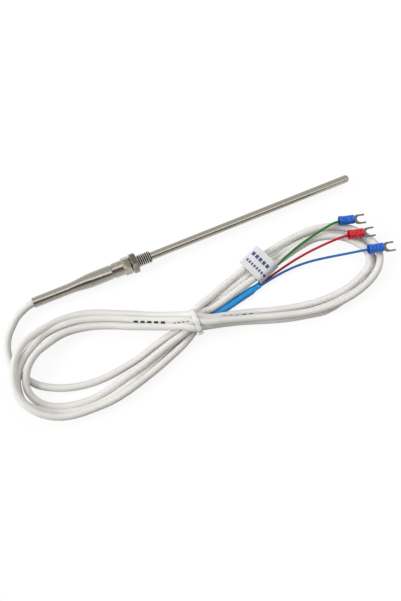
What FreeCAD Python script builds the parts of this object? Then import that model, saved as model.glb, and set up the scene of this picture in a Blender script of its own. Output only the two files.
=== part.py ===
import FreeCAD, Part
import math
import os

# Cable RTD, lying on a flat surface. +X runs along the probe to its tip and +Z is up.
# The origin is on the probe's axis, in the face of the hexagon where the thread starts.
# Sizes are in millimetres and angles in degrees.

# Threaded fitting, turned from hexagon bar
thread_d = 8.0
thread_len = 13.2
thread_chamfer = 0.7
hex_flats = 10.0
hex_len = 5.2
hex_turn = 9.0
neck_d = 9.4
neck_len = 6.2
spigot_len = 5.0
seat_clear = 0.02

# Probe tube
tube_d = 5.0
tube_wall = 0.4
probe_reach = 150.0
tip_round = 2.0

# Lock nut
nut_flats = 12.0
nut_len = 4.0
nut_gap = 0.3
nut_clear = 0.06
corner_trim = 0.25

# Tail sleeve
groove_len = 0.9
sleeve_d = 9.0
sleeve_wall = 0.6
wide_len = 14.8
taper_len = 10.8
narrow_d = 6.5
narrow_len = 25.0
mouth_chamfer = 0.3

# Sensing chip, leads and filler inside the tube
chip_len = 2.3
chip_width = 2.0
chip_thick = 0.9
chip_setback = 0.8
chip_lead_d = 0.25
chip_lead_len = 4.0
lead_d = 0.9
lead_ring_r = 0.95
liner_wall = 0.4
liner_clear = 0.05
filler_len = 13.0

# Splices inside the tail sleeve
core_bare_len = 6.0
ferrule_d = 1.6
ferrule_len = 5.0
jacket_inset = 1.0
lead_inside = 3.0

# Cable and its hank
cable_d = 4.4
strand_spread = 3.5
right_loop_height = 7.5
left_loop_height = 9.0
shoulder_height = 5.2
waist_half = 4.0

# Cable tie
tie_x = 21.3
tie_clear = 0.05
strap_thick = 1.1
strap_width = 2.8
head_length = 4.4
head_width = 4.0
head_depth = 2.0

# Heat-shrink sleeve
shrink_d = 5.0
shrink_neck_d = 4.0
shrink_neck_len = 3.8
shrink_step = 1.2
shrink_wall = 0.25
shrink_start = (29.6, -50.6)
shrink_finish = (67.1, -43.0)
cable_in_shrink = 32.0
wire_straight = 1.0

# Wires and fork terminals
wire_d = 1.5
mouth_d = 6.3
barrel_cover_d = 5.6
cover_len = 10.5
funnel_len = 2.5
cover_wall = 0.5
cover_clear = 0.02
barrel_d = 3.3
barrel_wall = 0.75
barrel_start = 5.0
dent_depth = 0.45
dent_r = 1.6
dent_places = (4.4, 7.8)
tongue_thick = 0.8
fork_width = 6.4
slot_width = 4.4
slot_len = 5.2
fork_len = 7.0
terminal_rest = 0.35
terminal_droop = 1.5

# Paper flag on the green wire
label_width = 15.0
label_reach = 16.8
label_thick = 0.3
label_wrap = 0.15
label_clear = 0.55
label_centre = (75.9, -38.1, 4.97)
label_along = (14.55, 5.22, 3.02)
label_rise_at = (4.2, 3.9)
label_rise_end = 4.4

# Stations along the probe, from the hexagon's face backwards
hex_back = -hex_len
neck_back = hex_back - neck_len
sleeve_front = neck_back - groove_len
spigot_back = sleeve_front - spigot_len
taper_front = sleeve_front - wide_len
taper_back = taper_front - taper_len
sleeve_back = taper_back - narrow_len
jacket_end = taper_back + jacket_inset
core_front = jacket_end + core_bare_len
ferrule_front = core_front + ferrule_len
floor_z = -nut_flats / 2

# Radii that two pieces share
bore_r = tube_d / 2 - tube_wall
sleeve_bore_r = sleeve_d / 2 - sleeve_wall
cable_r = cable_d / 2
grip_r = cable_r + seat_clear

# Cable route from the tail sleeve to the tie: x, y and height of the centreline above the floor
lead_route = [
    (sleeve_back + lead_inside, 0.0, -floor_z),
    (-65.0, 0.0, -floor_z),
    (-70.6, -1.9, 5.4),
    (-75.6, -4.0, 4.8),
    (-79.3, -7.0, 4.0),
    (-83.3, -11.8, 3.1),
    (-85.9, -17.7, 2.5),
    (-87.7, -23.7, 2.2),
    (-87.2, -31.1, 2.2),
    (-85.1, -37.9, 2.2),
    (-81.4, -43.1, 2.2),
    (-77.9, -47.5, 2.2),
    (-72.8, -51.2, 2.2),
    (-65.3, -55.1, 2.2),
    (-57.2, -57.7, 2.2),
    (-46.9, -59.4, 2.2),
    (-35.6, -59.2, 2.2),
    (-26.4, -57.9, 2.2),
    (-17.0, -56.4, 2.4),
    (-5.8, -53.0, 2.7),
    (4.1, -51.0, 3.6),
    (13.2, -49.8, 5.3),
    (18.4, -47.0, 6.5),
]

# Strands inside the tie: y and height of their centres above the floor, four below and three above
lower_strands = [(-45.4, 7.0), (-48.0, 3.5), (-50.6, 7.0), (-53.2, 3.5)]
upper_strands = [(-46.8, 11.1), (-51.2, 11.4), (-55.2, 9.6)]

# Middle of the strands round each loop of the hank: x and y, from the tie outwards and back
right_loop = [
    (23.3, -46.6), (46.3, -39.0), (72.8, -31.1), (99.3, -24.8), (112.3, -24.2), (124.3, -27.6),
    (133.9, -34.6), (139.2, -43.8), (139.5, -49.4), (138.3, -54.8), (132.5, -61.8), (121.7, -67.6),
    (106.8, -70.2), (91.3, -69.0), (75.8, -65.3), (49.3, -57.8), (23.3, -50.6),
]
left_loop = [
    (19.3, -49.0), (-8.2, -35.8), (-22.2, -28.2), (-36.2, -22.0), (-51.2, -18.6), (-65.7, -21.2),
    (-76.9, -27.4), (-83.9, -36.2), (-86.4, -45.8), (-84.3, -55.4), (-75.7, -65.0), (-64.2, -69.9),
    (-50.7, -71.2), (-36.7, -69.8), (-22.2, -66.3), (-8.2, -62.0), (19.3, -52.1),
]

# Wire routes from the mouth of the heat-shrink into the terminals: x, y and height above the floor
green_route = [(70.9, -39.9, 3.93), (82.3, -35.8, 6.3), (91.3, -33.0, 8.3), (100.3, -30.5, 9.2),
               (109.8, -28.1, 9.8), (119.3, -26.4, 10.5), (126.8, -26.4, 11.05), (133.5, -28.1, 10.87)]
red_route = [(75.5, -40.5, 2.2), (83.8, -38.8, 2.9), (92.3, -37.3, 3.8), (101.3, -36.3, 5.1),
             (110.3, -35.9, 7.1), (119.3, -36.2, 9.4), (127.7, -37.3, 11.05), (134.6, -38.7, 10.87)]
blue_route = [(76.3, -42.0, 2.7), (85.3, -40.8, 2.4), (94.3, -40.6, 2.7), (103.8, -41.8, 4.0),
              (113.8, -44.2, 6.1), (124.3, -47.3, 8.8), (134.4, -50.7, 11.05), (141.2, -52.2, 10.87)]

# Mouth of each terminal and the way it points: x, y and turn about Z
terminals = {
    "green": (128.7, -26.9, -14.4),
    "red": (129.7, -37.7, -11.8),
    "blue": (136.3, -51.1, -12.8),
}

X_AXIS = FreeCAD.Vector(1, 0, 0)
Y_AXIS = FreeCAD.Vector(0, 1, 0)
Z_AXIS = FreeCAD.Vector(0, 0, 1)


def vec(x, y, z):
    return FreeCAD.Vector(x, y, z)


def rod(diameter, x0, x1, y=0.0, z=0.0):
    return Part.makeCylinder(diameter / 2, x1 - x0, vec(x0, y, z), X_AXIS)


def turned(outline):
    """Revolve a closed outline of (x, radius) points about the X axis."""
    points = [vec(x, r, 0) for x, r in outline]
    face = Part.Face(Part.makePolygon(points + points[:1]))
    return face.revolve(vec(0, 0, 0), X_AXIS, 360)


def hexagon(flats, x0, x1, turn):
    """Hexagon bar along X whose corners are trimmed by a cone at both ends."""
    corner_r = flats / math.sqrt(3)
    corners = []
    for k in range(7):
        angle = math.radians(60 * k + turn)
        corners.append(vec(x0, corner_r * math.cos(angle), corner_r * math.sin(angle)))
    prism = Part.Face(Part.makePolygon(corners)).extrude(vec(x1 - x0, 0, 0))
    end_r = flats / 2 - corner_trim
    slope = (corner_r - end_r) * math.tan(math.radians(30))
    cone = turned([(x0, 0), (x0, end_r), (x0 + slope, corner_r), (x1 - slope, corner_r), (x1, end_r), (x1, 0)])
    return prism.common(cone)


def domed(radius, back, tip, round_r):
    """Solid rod from back to tip with a rounded end."""
    rim = vec(tip - round_r, radius, 0)
    middle = vec(tip - round_r * (1 - math.sin(math.pi / 4)), radius - round_r * (1 - math.cos(math.pi / 4)), 0)
    nose = vec(tip, radius - round_r, 0)
    edges = [
        Part.LineSegment(vec(back, 0, 0), vec(back, radius, 0)).toShape(),
        Part.LineSegment(vec(back, radius, 0), rim).toShape(),
        Part.Arc(rim, middle, nose).toShape(),
        Part.LineSegment(nose, vec(tip, 0, 0)).toShape(),
        Part.LineSegment(vec(tip, 0, 0), vec(back, 0, 0)).toShape(),
    ]
    return Part.Face(Part.Wire(edges)).revolve(vec(0, 0, 0), X_AXIS, 360)


def above_floor(points):
    return [vec(x, y, floor_z + height) for x, y, height in points]


def cord(name, route, diameter):
    """Round tube along straight runs joined by arcs, each as large as its two runs allow."""
    points = above_floor(route)
    edges = []
    radii = []
    start = points[0]
    for before, corner, after in zip(points, points[1:], points[2:]):
        into = (corner - before).normalize()
        out = (after - corner).normalize()
        half = into.getAngle(out) / 2
        reach = 0.45 * min(corner.distanceToPoint(before), corner.distanceToPoint(after))
        radius = reach / math.tan(half)
        radii.append(radius)
        inward = (out - into).normalize()
        first = corner - into * reach
        last = corner + out * reach
        middle = corner + inward * (radius / math.cos(half) - radius)
        edges.append(Part.LineSegment(start, first).toShape())
        edges.append(Part.Arc(first, middle, last).toShape())
        start = last
    edges.append(Part.LineSegment(start, points[-1]).toShape())
    path = Part.Wire(edges)
    ring = Part.Wire(Part.Circle(points[0], points[1] - points[0], diameter / 2).toShape())
    tube = path.makePipeShell([ring], True, False)
    section = math.pi * diameter ** 2 / 4
    print(name, "length", round(path.Length, 1), "volume share", round(tube.Volume / section / path.Length, 4))
    print(name, "arc radii", [round(r, 1) for r in radii])
    print(name, "starts at", [round(v, 2) for p in points[:2] for v in p])
    return tube


def loop_band(loop, first, last, half_width, low, high):
    """Part of a loop of the hank: a flat band of constant width round the middle line of its strands."""
    left = []
    right = []
    for k in range(first, last + 1):
        x, y = loop[k]
        ahead = loop[min(k + 1, len(loop) - 1)]
        behind = loop[max(k - 1, 0)]
        along = vec(ahead[0] - behind[0], ahead[1] - behind[1], 0)
        across = Z_AXIS.cross(along).normalize() * half_width
        left.append(vec(x, y, floor_z + low) + across)
        right.append(vec(x, y, floor_z + low) - across)
    left_side = Part.BSplineCurve()
    left_side.interpolate(left)
    right_side = Part.BSplineCurve()
    right_side.interpolate(right)
    edges = [
        left_side.toShape(),
        Part.LineSegment(left[-1], right[-1]).toShape(),
        right_side.toShape(),
        Part.LineSegment(right[0], left[0]).toShape(),
    ]
    face = Part.Face(Part.Wire(Part.__sortEdges__(edges)))
    return face.extrude(vec(0, 0, high - low))


def waist_outline(margin):
    """Outline that hugs the strands at the tie, in the plane across X, at a margin from their centres."""
    hull = [lower_strands[1], lower_strands[0]] + upper_strands + [lower_strands[3]]
    corners = [vec(tie_x, y, floor_z + height) for y, height in hull]
    return Part.makePolygon(corners + corners[:1]).makeOffset2D(margin), corners


def across_tie(outline, width):
    face = Part.Face(outline)
    face.translate(vec(-width / 2, 0, 0))
    return face.extrude(vec(width, 0, 0))


def probe_tube():
    outside = domed(tube_d / 2, spigot_back, probe_reach, tip_round)
    inside = domed(bore_r, spigot_back, probe_reach - tube_wall, tip_round - tube_wall)
    return outside.cut(inside)


def threaded_fitting():
    thread_r = thread_d / 2
    spigot_r = sleeve_bore_r - seat_clear
    body = turned([
        (spigot_back, 0),
        (spigot_back, spigot_r),
        (neck_back, spigot_r),
        (neck_back, neck_d / 2),
        (hex_back, neck_d / 2),
        (hex_back, thread_r),
        (thread_len - thread_chamfer, thread_r),
        (thread_len, thread_r - thread_chamfer),
        (thread_len, 0),
    ])
    body = body.fuse(hexagon(hex_flats, hex_back, 0, hex_turn)).removeSplitter()
    return body.cut(rod(tube_d + 2 * seat_clear, spigot_back, thread_len))


def lock_nut():
    front = nut_gap + nut_len
    bore = thread_d / 2 + nut_clear
    body = hexagon(nut_flats, nut_gap, front, 0).cut(rod(2 * bore, nut_gap, front))
    for end, inward in ((nut_gap, 1), (front, -1)):
        lead_in = turned([
            (end, 0),
            (end, bore + thread_chamfer),
            (end + inward * thread_chamfer, bore),
            (end + inward * thread_chamfer, 0),
        ])
        body = body.cut(lead_in)
    return body


def tail_sleeve():
    wide_r = sleeve_d / 2
    narrow_r = narrow_d / 2
    return turned([
        (sleeve_front, sleeve_bore_r),
        (sleeve_front, wide_r - mouth_chamfer),
        (sleeve_front - mouth_chamfer, wide_r),
        (taper_front, wide_r),
        (taper_back, narrow_r),
        (sleeve_back + mouth_chamfer, narrow_r),
        (sleeve_back, narrow_r - mouth_chamfer),
        (sleeve_back, grip_r),
        (taper_back, grip_r),
        (taper_front, sleeve_bore_r),
    ])


def lead_places():
    """Where the three leads stand round the axis, by colour: y and z."""
    places = {}
    for colour, angle in (("green", 330), ("red", 90), ("blue", 210)):
        turn = math.radians(angle)
        places[colour] = (lead_ring_r * math.cos(turn), lead_ring_r * math.sin(turn))
    return places


chip_front = probe_reach - tube_wall - chip_setback
chip_back = chip_front - chip_len
lead_front = chip_back - chip_lead_len
filler_back = probe_reach - tube_wall - filler_len


def sensing_element():
    z = lead_places()["green"][1]
    return Part.makeBox(chip_len, chip_width, chip_thick, vec(chip_back, -chip_width / 2, z - chip_thick / 2))


def element_leads():
    """The chip's two leads, and a bridge from one of them to the third lead."""
    places = lead_places()
    leads = [rod(chip_lead_d, lead_front, chip_back, *places[colour]) for colour in ("green", "blue")]
    high = vec(lead_front + chip_lead_d / 2, *places["red"])
    low = vec(lead_front + chip_lead_len / 2, *places["blue"])
    bridge = Part.makeCylinder(chip_lead_d / 2, high.distanceToPoint(low), high, low - high)
    bridge = bridge.cut(rod(lead_d, spigot_back, lead_front, *places["red"]))
    return Part.makeCompound([leads[0], leads[1].fuse(bridge)])


def inner_lead(colour):
    return rod(lead_d, core_front + ferrule_len / 2, lead_front, *lead_places()[colour])


def core_end(colour):
    return rod(wire_d, jacket_end, core_front, *lead_places()[colour])


def splice_ferrules():
    """Three crimped sleeves: a bore for the lead in front, closed over the core behind."""
    ferrules = []
    for y, z in lead_places().values():
        sleeve = rod(ferrule_d, core_front, ferrule_front, y, z)
        ferrules.append(sleeve.cut(rod(lead_d + 2 * seat_clear, core_front + ferrule_len / 2, ferrule_front, y, z)))
    return Part.makeCompound(ferrules)


def insulating_sleeve():
    outer = 2 * (bore_r - liner_clear)
    return rod(outer, spigot_back, filler_back).cut(rod(outer - 2 * liner_wall, spigot_back, filler_back))


def tip_filler():
    body = domed(bore_r - seat_clear, filler_back, probe_reach - tube_wall - seat_clear, tip_round - tube_wall)
    for y, z in lead_places().values():
        body = body.cut(rod(lead_d + 2 * seat_clear, filler_back, lead_front, y, z))
    return body.cut(sensing_element()).cut(element_leads())


def tail_potting():
    potting_r = sleeve_bore_r - seat_clear
    front = spigot_back - seat_clear
    body = turned([
        (jacket_end, 0),
        (jacket_end, grip_r),
        (taper_front, potting_r),
        (front, potting_r),
        (front, 0),
    ])
    for y, z in lead_places().values():
        body = body.cut(rod(wire_d + 2 * seat_clear, jacket_end, core_front, y, z))
        body = body.cut(rod(ferrule_d + 2 * seat_clear, core_front, ferrule_front, y, z))
        body = body.cut(rod(lead_d + 2 * seat_clear, ferrule_front, front, y, z))
    return body


def cable_root():
    return rod(cable_d, sleeve_back + lead_inside, jacket_end)


def cable_hank():
    """Outer shape of the turns: four shouldered bands round the two loops, and the tied waist."""
    wide = strand_spread + cable_r
    bands = []
    for loop, height in ((right_loop, right_loop_height), (left_loop, left_loop_height)):
        far = len(loop) // 2
        for first, last in ((0, far), (far, len(loop) - 1)):
            bands.append(loop_band(loop, first, last, wide, 0, shoulder_height))
            bands.append(loop_band(loop, first, last, wide - cable_r, shoulder_height, height))
    body = bands[0].multiFuse(bands[1:])
    gap = head_width / 2 + 4 * tie_clear
    reach = 4 * wide
    slab = Part.makeBox(2 * gap, 2 * reach, reach, vec(tie_x - gap, upper_strands[1][0] - reach, floor_z))
    waist = across_tie(waist_outline(cable_r)[0], 2 * waist_half)
    return body.cut(slab).fuse(waist).removeSplitter()


def cable_tie():
    """Strap round the waist, with a square locking head on the near side."""
    inner = waist_outline(cable_r + tie_clear)[0]
    outer, corners = waist_outline(cable_r + tie_clear + strap_thick)
    strap = across_tie(outer, strap_width).cut(across_tie(inner, 2 * strap_width))
    up = (corners[-2] - corners[-1]).normalize()
    outward = X_AXIS.cross(up) * -1
    if outward.y > 0:
        outward = outward * -1
    middle = (corners[-2] + corners[-1]) * 0.5 + outward * (cable_r + tie_clear)
    corner = middle - X_AXIS * (head_width / 2) - up * (head_length / 2)
    base = Part.makePolygon([
        corner,
        corner + X_AXIS * head_width,
        corner + X_AXIS * head_width + up * head_length,
        corner + up * head_length,
        corner,
    ])
    head = Part.Face(base).extrude(outward * head_depth)
    head = head.makeChamfer(strap_thick / 3, head.Edges)
    return strap.fuse(head).cut(across_tie(inner, 2 * head_width)).removeSplitter()


shrink_len = math.dist(shrink_start, shrink_finish)


def along_shrink(shape):
    """Put a piece made along X from the origin on the heat-shrink's axis."""
    run = vec(shrink_finish[0] - shrink_start[0], shrink_finish[1] - shrink_start[1], 0)
    turn = FreeCAD.Rotation(X_AXIS, run)
    shape.Placement = FreeCAD.Placement(vec(*shrink_start, floor_z + shrink_d / 2), turn)
    return shape


def wire(colour, route):
    """A wire: straight out of the cable's end and the heat-shrink, then along its own route."""
    y, z = lead_places()[colour]
    inside = [Part.Vertex(cable_in_shrink, y, -z), Part.Vertex(shrink_len + wire_straight, y, -z)]
    places = [along_shrink(vertex).Point for vertex in inside]
    start = [(place.x, place.y, place.z - floor_z) for place in places]
    return cord(colour + "_wire", start + route, wire_d)


def heat_shrink():
    neck_start = shrink_len - shrink_neck_len
    bore = cable_r + seat_clear
    neck_bore = shrink_neck_d / 2 - shrink_wall
    return along_shrink(turned([
        (0, bore),
        (0, shrink_d / 2),
        (neck_start - shrink_step, shrink_d / 2),
        (neck_start, shrink_neck_d / 2),
        (shrink_len, shrink_neck_d / 2),
        (shrink_len, neck_bore),
        (neck_start, neck_bore),
        (neck_start - shrink_step, bore),
    ]))


def cable_end():
    return along_shrink(rod(cable_d, -cable_d, cable_in_shrink))


def at_terminal(colour, shape):
    """Put a terminal's piece, made along X from its mouth, where that terminal lies on the hank."""
    x, y, turn = terminals[colour]
    height = right_loop_height + mouth_d / 2 + terminal_rest
    heading = FreeCAD.Rotation(Z_AXIS, turn).multiply(FreeCAD.Rotation(Y_AXIS, terminal_droop))
    shape.Placement = FreeCAD.Placement(vec(x, y, floor_z + height), heading)
    return shape


def insulator(colour):
    """Moulded sleeve with a funnel mouth and two crimp dents on top."""
    cover_r = barrel_cover_d / 2
    body = turned([
        (0, mouth_d / 2 - cover_wall),
        (0, mouth_d / 2),
        (funnel_len, cover_r),
        (cover_len, cover_r),
        (cover_len, barrel_d / 2 + cover_clear),
        (barrel_start, barrel_d / 2 + cover_clear),
        (funnel_len, cover_r - cover_wall),
    ])
    for place in dent_places:
        top = vec(place, -mouth_d / 2, cover_r - dent_depth + dent_r)
        body = body.cut(Part.makeCylinder(dent_r, mouth_d, top, Y_AXIS))
    return at_terminal(colour, body)


def fork(colour):
    """Tinned tongue with a round-ended slot, in one piece with its crimp barrel."""
    barrel_r = barrel_d / 2
    barrel = rod(barrel_d, barrel_start, cover_len).cut(rod(barrel_d - 2 * barrel_wall, barrel_start, cover_len))
    tip = cover_len + fork_len
    half = fork_width / 2
    slot_r = slot_width / 2
    slot_end = tip - slot_len
    low = -barrel_r
    shoulder = cover_len + (half - barrel_r)
    outline = Part.makePolygon([
        vec(cover_len - tongue_thick, -barrel_r + barrel_wall, low),
        vec(cover_len, -barrel_r, low),
        vec(shoulder, -half, low),
        vec(tip, -half, low),
        vec(tip, half, low),
        vec(shoulder, half, low),
        vec(cover_len, barrel_r, low),
        vec(cover_len - tongue_thick, barrel_r - barrel_wall, low),
        vec(cover_len - tongue_thick, -barrel_r + barrel_wall, low),
    ])
    tongue = Part.Face(outline).extrude(vec(0, 0, tongue_thick))
    slot = Part.makeCylinder(slot_r, tongue_thick, vec(slot_end + slot_r, 0, low))
    slot = slot.fuse(Part.makeBox(slot_len, slot_width, tongue_thick, vec(slot_end + slot_r, -slot_r, low)))
    tongue = tongue.cut(slot).cut(rod(barrel_d - 2 * barrel_wall, barrel_start, cover_len))
    inside = rod(barrel_d, barrel_start, cover_len).fuse(Part.makeBox(fork_len, 2 * half, barrel_d,
                                                                    vec(cover_len, -half, low)))
    return at_terminal(colour, barrel.fuse(tongue).common(inside).removeSplitter())


def wire_label():
    """Paper strip folded round the wire, its two leaves stuck together in a curved flag."""
    along = vec(*label_along).normalize()
    out = Z_AXIS.cross(along).normalize()
    up = along.cross(out)
    wrap_r = wire_d / 2 + label_clear
    near = (0.0, wrap_r)
    rise = (label_rise_at[0], label_rise_at[1])
    far = (label_reach, label_rise_end)
    lower = [vec(0, y, z) for y, z in (near, rise, far)]
    upper = [point + vec(0, 0, label_thick) for point in lower]
    leaf = Part.Face(Part.Wire([
        Part.Arc(lower[0], lower[1], lower[2]).toShape(),
        Part.LineSegment(lower[2], upper[2]).toShape(),
        Part.Arc(upper[2], upper[1], upper[0]).toShape(),
        Part.LineSegment(upper[0], lower[0]).toShape(),
    ])).extrude(vec(label_width, 0, 0))
    wrap = rod(2 * (wrap_r + label_wrap), 0, label_width)
    flag = wrap.fuse(leaf).cut(rod(2 * wrap_r, 0, label_width)).removeSplitter()
    x, y, height = label_centre
    corner = vec(x, y, floor_z + height) - along * (label_width / 2)
    flag.Placement = FreeCAD.Placement(corner, FreeCAD.Rotation(along, out, up, "XYZ"))
    return flag


def save(name, shape):
    shape.exportStep("parts/" + name + ".step")
    print(name, "solids", len(shape.Solids), "valid", shape.isValid(), "volume", round(shape.Volume, 2))


os.makedirs("parts", exist_ok=True)
save("probe_tube", probe_tube())
save("threaded_fitting", threaded_fitting())
save("lock_nut", lock_nut())
save("tail_sleeve", tail_sleeve())
save("sensing_element", sensing_element())
save("element_leads", element_leads())
save("insulating_sleeve", insulating_sleeve())
save("tip_filler", tip_filler())
save("splice_ferrules", splice_ferrules())
save("tail_potting", tail_potting())
save("cable_root", cable_root())
save("cable_lead", cord("cable_lead", lead_route, cable_d))
save("cable_hank", cable_hank())
save("cable_tie", cable_tie())
save("cable_end", cable_end())
save("heat_shrink", heat_shrink())
save("wire_label", wire_label())
for colour, route in (("green", green_route), ("red", red_route), ("blue", blue_route)):
    save("inner_lead_" + colour, inner_lead(colour))
    save("core_end_" + colour, core_end(colour))
    save(colour + "_wire", wire(colour, route))
    save("insulator_" + colour, insulator(colour))
    save("fork_" + colour, fork(colour))
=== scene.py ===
import bmesh
import bpy
import math
from mathutils import Matrix, Vector


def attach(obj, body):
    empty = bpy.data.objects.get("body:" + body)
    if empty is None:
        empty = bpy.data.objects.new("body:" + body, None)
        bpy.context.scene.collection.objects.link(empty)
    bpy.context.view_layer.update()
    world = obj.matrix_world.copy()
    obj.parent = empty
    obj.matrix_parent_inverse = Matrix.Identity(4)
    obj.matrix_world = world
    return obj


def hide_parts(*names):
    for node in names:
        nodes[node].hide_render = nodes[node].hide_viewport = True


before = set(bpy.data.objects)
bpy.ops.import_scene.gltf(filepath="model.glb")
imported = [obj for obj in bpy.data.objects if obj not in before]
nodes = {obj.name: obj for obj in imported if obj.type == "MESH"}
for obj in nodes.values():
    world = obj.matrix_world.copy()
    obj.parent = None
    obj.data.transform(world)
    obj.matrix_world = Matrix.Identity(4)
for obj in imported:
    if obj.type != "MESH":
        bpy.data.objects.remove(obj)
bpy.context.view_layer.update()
mm = 0.001
floorLevel = -0.006  # the surface that the sensor lies on


def onFloor(x, y, height):
    return Vector((x * mm, y * mm, floorLevel + height * mm))


def placeObject(name, data):
    thing = bpy.data.objects.new(name, data)
    bpy.context.scene.collection.objects.link(thing)
    return thing


def aimAt(thing, place, target):
    thing.location = place
    thing.rotation_euler = (Vector(target) - Vector(place)).to_track_quat("-Z", "Y").to_euler()


# camera

cameraSettings = {
    "place": (-0.03097, -0.17778, 0.41686),
    "target": (0.03070, -0.03677, -0.006),
    "lens": 66.17,
    "sensor": 36.0,
    "nearest": 0.01,
}


def setCamera(settings):
    data = bpy.data.cameras.new("studioCamera")
    data.sensor_fit = "HORIZONTAL"
    data.sensor_width = settings["sensor"]
    data.lens = settings["lens"]
    data.clip_start = settings["nearest"]
    camera = placeObject("studioCamera", data)
    aimAt(camera, settings["place"], settings["target"])
    bpy.context.scene.camera = camera


setCamera(cameraSettings)
print("camera set")


# material helpers: each adds nodes and gives the socket with the result

def addNode(tree, kind, **values):
    node = tree.nodes.new(kind)
    for name, value in values.items():
        setattr(node, name, value)
    return node


def feed(tree, socket, value):  # a link from another socket, or a plain value
    if isinstance(value, bpy.types.NodeSocket):
        tree.links.new(value, socket)
    else:
        socket.default_value = value


def calculate(tree, operation, *values):
    node = addNode(tree, "ShaderNodeMath", operation=operation)
    for socket, value in zip(node.inputs, values):
        feed(tree, socket, value)
    return node.outputs["Value"]


def vectorStep(tree, operation, *vectors, result="Vector"):
    node = addNode(tree, "ShaderNodeVectorMath", operation=operation)
    for socket, vector in zip(node.inputs, vectors):
        feed(tree, socket, vector)
    return node.outputs[result]


def remap(tree, value, source, target=(0.0, 1.0)):
    node = addNode(tree, "ShaderNodeMapRange")
    feed(tree, node.inputs["Value"], value)
    for name, level in zip(("From Min", "From Max", "To Min", "To Max"), (*source, *target)):
        feed(tree, node.inputs[name], level)
    return node.outputs["Result"]


def mixTone(tree, share, under, tone):
    node = addNode(tree, "ShaderNodeMix", data_type="RGBA")
    for name, value in (("Factor", share), ("A", under), ("B", (*tone, 1.0))):
        feed(tree, node.inputs[name], value)
    return node.outputs["Result"]


def faceUpward(tree):  # how far a face looks up, 1 is straight up
    place = addNode(tree, "ShaderNodeTexCoord")
    split = addNode(tree, "ShaderNodeSeparateXYZ")
    feed(tree, split.inputs["Vector"], place.outputs["Normal"])
    return split.outputs["Z"]


def axisRadius(tree):  # distance from the probe's axis
    place = addNode(tree, "ShaderNodeTexCoord")
    flat = vectorStep(tree, "MULTIPLY", place.outputs["Object"], (0, 1, 1))
    return vectorStep(tree, "LENGTH", flat, result="Value")


def startGroup(name, vectors, numbers, result):  # node group with named sockets
    group = bpy.data.node_groups.new(name, "ShaderNodeTree")
    face = group.interface
    for label in vectors:
        face.new_socket(label, in_out="INPUT", socket_type="NodeSocketVector")
    for label in numbers:
        face.new_socket(label, in_out="INPUT", socket_type="NodeSocketFloat")
    face.new_socket(result, in_out="OUTPUT", socket_type="NodeSocketFloat")
    inside = addNode(group, "NodeGroupInput")
    outside = addNode(group, "NodeGroupOutput")
    return group, inside.outputs, outside.inputs[result]


def placeGroup(tree, group, result, values):
    field = addNode(tree, "ShaderNodeGroup", node_tree=group)
    for name, value in values.items():
        field.inputs[name].default_value = value
    return field.outputs[result]


# shared node groups

grainSettings = {"detail": 3.0, "span": (0.28, 0.72)}  # span: what most of the noise lies in


def makeGrainField(settings):  # noise stretched along the piece, from low to high
    group, inside, field = startGroup("grainField", ["Stretch"], ["Low", "High"], "Field")
    place = addNode(group, "ShaderNodeTexCoord")
    noise = addNode(group, "ShaderNodeTexNoise")
    noise.inputs["Scale"].default_value = 1.0
    noise.inputs["Detail"].default_value = settings["detail"]
    feed(group, noise.inputs["Vector"], vectorStep(group, "MULTIPLY", place.outputs["Object"], inside["Stretch"]))
    feed(group, field, remap(group, noise.outputs["Fac"], settings["span"], (inside["Low"], inside["High"])))
    return group


grainField = makeGrainField(grainSettings)


def placeField(tree, stretch, low, high):
    return placeGroup(tree, grainField, "Field", {"Stretch": stretch, "Low": low, "High": high})


dashSettings = {"facing": 0.25}  # faces that look up less than this take no print


def makeDashRow(settings):  # a row of plain dashes on the faces that look up
    group, inside, mask = startGroup("dashRow", ["Start", "Along", "Across"],
                                     ["Length", "Half", "Period", "Duty"], "Mask")
    place = addNode(group, "ShaderNodeTexCoord")
    fromStart = vectorStep(group, "SUBTRACT", place.outputs["Object"], inside["Start"])
    along = vectorStep(group, "DOT_PRODUCT", fromStart, inside["Along"], result="Value")
    across = vectorStep(group, "DOT_PRODUCT", fromStart, inside["Across"], result="Value")
    middle = calculate(group, "MULTIPLY", inside["Length"], 0.5)
    inLength = calculate(group, "COMPARE", along, middle, middle)
    inHeight = calculate(group, "COMPARE", across, 0.0, inside["Half"])
    inRow = calculate(group, "MULTIPLY", inLength, inHeight)
    part = calculate(group, "FRACT", calculate(group, "DIVIDE", along, inside["Period"]))
    dash = calculate(group, "LESS_THAN", part, inside["Duty"])
    facing = calculate(group, "GREATER_THAN", faceUpward(group), settings["facing"])
    feed(group, mask, calculate(group, "MULTIPLY", inRow, calculate(group, "MULTIPLY", dash, facing)))
    return group


dashRow = makeDashRow(dashSettings)


def placeDashes(tree, row):
    values = {name: row[name.lower()] * mm for name in ("Length", "Half", "Period")}
    values["Start"] = onFloor(*row["start"])
    values["Along"] = Vector(row["along"]).normalized()
    values["Across"] = Vector(row["across"]).normalized()
    values["Duty"] = row["duty"]
    return placeGroup(tree, dashRow, "Mask", values)


# finishes

paintedFlatShadeSettings = {"facing": (0.93, 0.985), "radius": 5.0}  # painted shade: the hexagons' upper flats, outside the thread, darkened in place of the dark surroundings they reflect


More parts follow.
